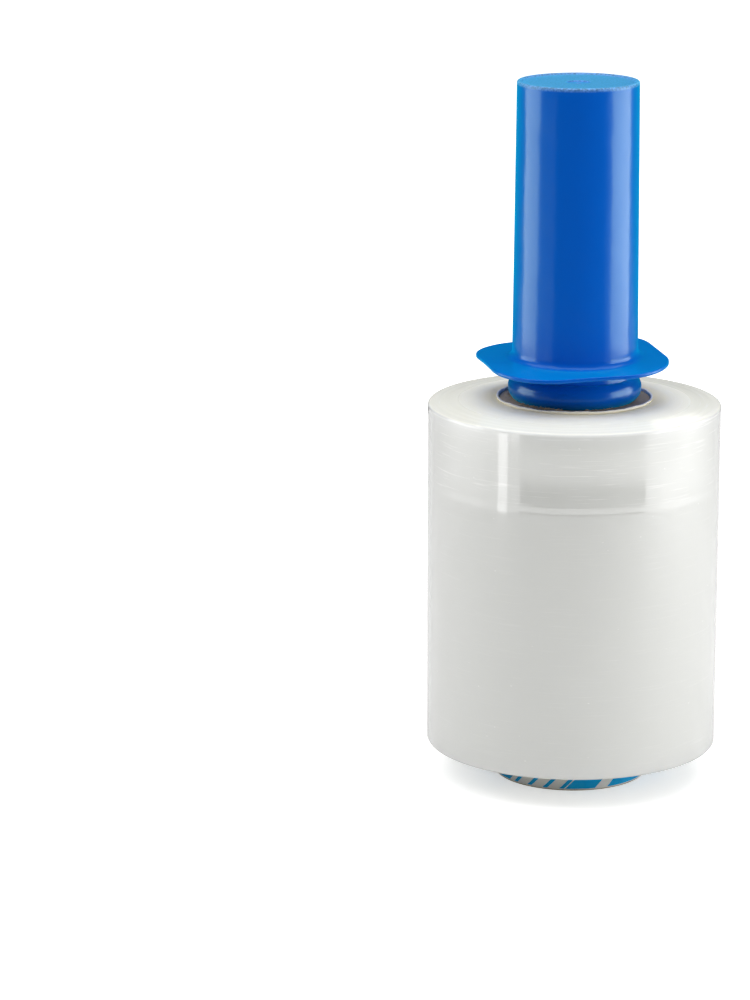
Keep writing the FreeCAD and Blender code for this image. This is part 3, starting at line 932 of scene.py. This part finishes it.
def brim_rings(sizes, level):
    """Rings of the brim from the foot of the cove, over its rim and back to the neck."""
    root = sizes.grip_root
    start = root + sizes.cove
    soft = 0.4 * MM
    rings = []

    def ring(share, inset, drop):
        def shape(angles):
            rim = brim_outline(angles, sizes) - inset
            across = BRIM_SHIFT[0] * share + (start + (rim - start) * share) * np.cos(angles)
            along = BRIM_SHIFT[1] * share + (start + (rim - start) * share) * np.sin(angles)
            rise = brim_rise(np.hypot(across, along), np.arctan2(along, across), root)
            return across, along, level + rise - drop
        return shape

    for share in np.linspace(0, 0.94, 9)[1:]:
        rings.append(ring(share, soft, 0.0))
    for turn in np.radians(np.linspace(90, 0, 5)):
        rings.append(ring(1.0, soft * (1 - math.cos(turn)), soft * (1 - math.sin(turn))))
    low = sizes.brim_thickness
    for turn in np.radians(np.linspace(0, -90, 5)):
        rings.append(ring(1.0, soft * (1 - math.cos(turn)), low - soft * (1 + math.sin(turn))))
    for share in np.linspace(0.92, 0, 7):
        rings.append(ring(share, soft, low))
    return rings


def cove_rings(sizes, level):
    """Rings of the cove from the grip's wall out to the brim."""
    root = sizes.grip_root
    radius = sizes.cove
    rings = []
    for turn in np.radians(np.linspace(0, 90, 9)):
        def shape(angles, turn=turn):
            reach = root + radius * (1 - math.cos(turn))
            foot = level + brim_rise(root + radius, angles, root)
            return reach, foot + radius * (1 - math.sin(turn))
        rings.append(shape)
    return rings


class WRAPROLL_OT_mould_grip(bpy.types.Operator):
    """Moulds the grip: crown, wall, brim, bead and spigot in one piece"""

    bl_idname = "wrap_roll.mould_grip"
    bl_label = "Mould Grip"

    def execute(self, context):
        sizes = context.scene.wrap_roll_sizes
        top = GRIP_HIGH.z
        end = CORE_HIGH.z
        level = end + sizes.grip_brim
        floor = top - 0.6 * MM
        well = floor - 0.5 * MM
        rim = sizes.grip_top - 1.3 * MM
        round_off = 0.65 * MM
        section = [(0.0, well + 0.35 * MM), (0.5 * MM, well + 0.35 * MM), (0.8 * MM, well + 0.3 * MM)]
        section += [(1.0 * MM, well + 0.15 * MM), (1.1 * MM, well), (2.4 * MM, well), (3.6 * MM, well)]
        section += bend((3.8 * MM, well + 0.2 * MM), 0.2 * MM, -90, -20, 3)
        section += bend((4.5 * MM, floor - 0.3 * MM), 0.3 * MM, 170, 90, 4)
        section += straight((5.2 * MM, floor), (rim - 0.6 * MM, floor), 8)
        section += bend((rim - 0.4 * MM, floor + 0.2 * MM), 0.2 * MM, -90, -10, 3)
        section += bend((rim + 0.35 * MM, top - 0.3 * MM), 0.3 * MM, 170, 90, 4)
        section += bend((sizes.grip_top - round_off, top - round_off), round_off, 90, 4, 6)
        wall_top = (sizes.grip_top, top - round_off)
        wall_foot = (sizes.grip_root, level + sizes.cove + 0.4 * MM)
        section += straight(wall_top, wall_foot, 24)[1:]
        section.append(wall_foot)
        section += cove_rings(sizes, level)
        section += brim_rings(sizes, level)
        neck = sizes.neck
        shoulder = end + sizes.bead_height
        low = level - sizes.brim_thickness
        section.append(lambda a: (neck + 0.8 * MM, low + brim_rise(neck, a, sizes.grip_root)))
        section += bend((neck + 0.8 * MM, low - 0.8 * MM), 0.8 * MM, 110, 180, 4)
        section += straight((neck, low - 1.2 * MM), (neck, shoulder + 0.3 * MM), 3)
        section += [(neck, shoulder + 0.1 * MM), (neck + 0.08 * MM, shoulder), (neck + 0.3 * MM, shoulder)]
        proud = sizes.bead - sizes.bead_seat
        bulge = (sizes.bead_height**2 / 4 + proud**2) / (2 * proud)
        middle = (sizes.bead - bulge, end + sizes.bead_height / 2)
        swing = math.degrees(math.asin(sizes.bead_height / 2 / bulge))
        section += bend(middle, bulge, swing, -swing, 22)
        section += [(sizes.spigot + 0.1 * MM, end), (sizes.spigot, end - 0.1 * MM)]
        foot = GRIP_LOW.z
        section += straight((sizes.spigot, end - 0.1 * MM), (sizes.spigot, foot + 7 * MM), 6)[1:]
        section += [(sizes.spigot, foot + 7 * MM), (sizes.spigot - 0.1 * MM, foot + 6 * MM)]
        section += [(sizes.spigot - 0.7 * MM, foot + 0.3 * MM), (sizes.spigot - 0.9 * MM, foot)]
        section += [(sizes.hollow + 0.2 * MM, foot), (sizes.hollow, foot + 0.2 * MM)]
        roof = top - 2.6 * MM
        section += straight((sizes.hollow, foot + 0.2 * MM), (sizes.hollow, roof - 0.5 * MM), 12)[1:]
        section += [(sizes.hollow, roof - 0.5 * MM), (sizes.hollow - 0.15 * MM, roof - 0.15 * MM)]
        section += [(sizes.hollow - 0.5 * MM, roof), (sizes.hollow / 2, roof), (0.0, roof)]
        mesh = loft("moulded_grip", section, sizes.columns, closed=False, sharp=40.0)
        piece = new_piece("moulded_grip", mesh)
        material = moulded_polypropylene_material(context.scene.wrap_roll_colours)
        finish_piece(piece, "handle", material, "handle")
        return {"FINISHED"}


# The stage: floor, lights and camera.

CAMERA_PLACE = (-0.0727, -1.3633, 0.4417)
CAMERA_TILT = math.radians(13.96)
CAMERA_LENS = 137.8
FLOOR_HALF = 3.0

# Soft boxes: name, place, turn in degrees, width, height, power in watts, and whether
# diffuse and gloss see it.
SOFT_BOXES = (
    ("box_right", (0.60, -0.16, 0.21), (90, 0, 75.0), 0.40, 0.34, 1.6, True, False),
    ("box_high", (-0.85, -0.1, 0.78), (0, -53, 0), 0.5, 0.5, 2.6, True, False),
    ("sheen_left", (-0.59, 0.065, 0.21), (90, 0, -90), 0.41, 0.34, 2.32, False, True),
    ("sheen_right", (0.59, -0.04, 0.21), (90, 0, 90), 0.50, 0.34, 3.87, False, True),
    ("box_over", (0.0, 0.1, 1.25), (0, 0, 0), 2.0, 2.0, 24.6, True, True),
    ("strip_left", (-0.411, -0.267, 0.02), (90, 0, -57), 0.065, 0.04, 0.0117, False, True),
    ("kick_back", (0.106, 0.51, 0.332), (-109, 0, -8), 0.08, 0.037, 0.035, False, True),
)
# Flags show in the gloss alone. Before the object, out of the picture, a low strip stands
# on the floor in an arc about the roll's axis, with a tall one over a gap, and a flat one
# stands behind it. The arcs run over these degrees from -Y towards +X.
ARC_REACH = 0.505
ARC_SPAN = (-43.0, 52.5)
ARC_FLAGS = ((0.0, 0.0105), (0.030, 1.0))
BACK_FLAG = ((-1.15, 0.60), (1.15, 0.60))
BACK_HEIGHT = 1.2


def plane_mesh(name, width, depth):
    """A flat rectangle about the origin."""
    mesh = bpy.data.meshes.new(name)
    x, y = width / 2, depth / 2
    mesh.from_pydata([(-x, -y, 0), (x, -y, 0), (x, y, 0), (-x, y, 0)], [], [(0, 1, 2, 3)])
    return mesh


class WRAPROLL_OT_set_stage(bpy.types.Operator):
    """Sets the floor, the soft boxes, the world and the camera"""

    bl_idname = "wrap_roll.set_stage"
    bl_label = "Set Stage"

    def execute(self, context):
        scene = context.scene
        colours = scene.wrap_roll_colours
        floor = new_piece("floor", plane_mesh("floor", 2 * FLOOR_HALF, 2 * FLOOR_HALF))
        floor.data.materials.append(studio_floor_material(colours))
        turns = np.radians(np.linspace(*ARC_SPAN, 25))
        arc = [(ARC_REACH * math.sin(turn), -ARC_REACH * math.cos(turn)) for turn in turns]
        walls = [(start, end, 0.0, BACK_HEIGHT) for start, end in (BACK_FLAG,)]
        walls += [(start, end, foot, head) for foot, head in ARC_FLAGS for start, end in zip(arc, arc[1:])]
        corners = []
        for start, end, foot, head in walls:
            corners += [(*start, foot), (*end, foot), (*end, head), (*start, head)]
        mesh = bpy.data.meshes.new("flags")
        mesh.from_pydata(corners, [], [tuple(range(n, n + 4)) for n in range(0, len(corners), 4)])
        flag = new_piece("flags", mesh)
        flag.data.materials.append(flag_material())
        flag.visible_camera = False
        flag.visible_diffuse = False
        flag.visible_transmission = False
        flag.visible_shadow = False
        for name, place, turn, width, height, power, diffuse, gloss in SOFT_BOXES:
            lamp = bpy.data.lights.new(name, "AREA")
            lamp.shape = "RECTANGLE"
            lamp.size = width
            lamp.size_y = height
            lamp.energy = power
            box = bpy.data.objects.new(name, lamp)
            box.location = place
            box.rotation_euler = [math.radians(t) for t in turn]
            box.visible_camera = False
            box.visible_diffuse = diffuse
            box.visible_glossy = gloss
            scene.collection.objects.link(box)
            # This lamp shows in the film's gloss alone.
            if name == "kick_back":
                only = bpy.data.collections.new("film_only")
                only.objects.link(bpy.data.objects["wound_film"])
                box.light_linking.receiver_collection = only
        world = bpy.data.worlds.new("studio")
        world.use_nodes = True
        scene.world = world
        tree = world.node_tree
        tree.nodes.clear()
        straight_on = rays_that_see(tree)[0]
        strength = ramp(tree, straight_on, 0.0, 1.0, 0.211, 1.0)
        sky = add_node(tree, "ShaderNodeBackground", {"Color": (1, 1, 1, 1), "Strength": strength})
        add_node(tree, "ShaderNodeOutputWorld", {"Surface": sky.outputs[0]})
        lens = bpy.data.cameras.new("photo_camera")
        lens.lens = CAMERA_LENS
        lens.clip_start = 0.05
        camera = bpy.data.objects.new("photo_camera", lens)
        camera.location = CAMERA_PLACE
        camera.rotation_euler = (math.pi / 2 - CAMERA_TILT, 0, 0)
        scene.collection.objects.link(camera)
        scene.camera = camera
        scene.view_settings.view_transform = "Standard"
        return {"FINISHED"}


class WRAPROLL_PT_panel(bpy.types.Panel):
    """Lists the sizes, the colours and the steps"""

    bl_label = "Wrap Roll"
    bl_idname = "WRAPROLL_PT_panel"
    bl_space_type = "VIEW_3D"
    bl_region_type = "UI"
    bl_category = "Wrap Roll"

    def draw(self, context):
        for group in (context.scene.wrap_roll_sizes, context.scene.wrap_roll_colours):
            box = self.layout.box()
            for name in group.__annotations__:
                box.prop(group, name)
        for step in STEPS:
            self.layout.operator(step.bl_idname)


STEPS = (
    WRAPROLL_OT_wind_film,
    WRAPROLL_OT_saw_core,
    WRAPROLL_OT_print_ply,
    WRAPROLL_OT_tear_fibres,
    WRAPROLL_OT_mould_grip,
    WRAPROLL_OT_set_stage,
)
CLASSES = (WrapRollSizes, WrapRollColours, *STEPS, WRAPROLL_PT_panel)


def register():
    for item in CLASSES:
        bpy.utils.register_class(item)
    bpy.types.Scene.wrap_roll_sizes = bpy.props.PointerProperty(type=WrapRollSizes)
    bpy.types.Scene.wrap_roll_colours = bpy.props.PointerProperty(type=WrapRollColours)


def unregister():
    del bpy.types.Scene.wrap_roll_colours
    del bpy.types.Scene.wrap_roll_sizes
    for item in reversed(CLASSES):
        bpy.utils.unregister_class(item)


def main():
    register()
    bpy.ops.wrap_roll.wind_film()
    bpy.ops.wrap_roll.saw_core()
    bpy.ops.wrap_roll.print_ply()
    bpy.ops.wrap_roll.tear_fibres()
    bpy.ops.wrap_roll.mould_grip()
    bpy.ops.wrap_roll.set_stage()
    bpy.context.view_layer.update()


if __name__ == "__main__":
    main()
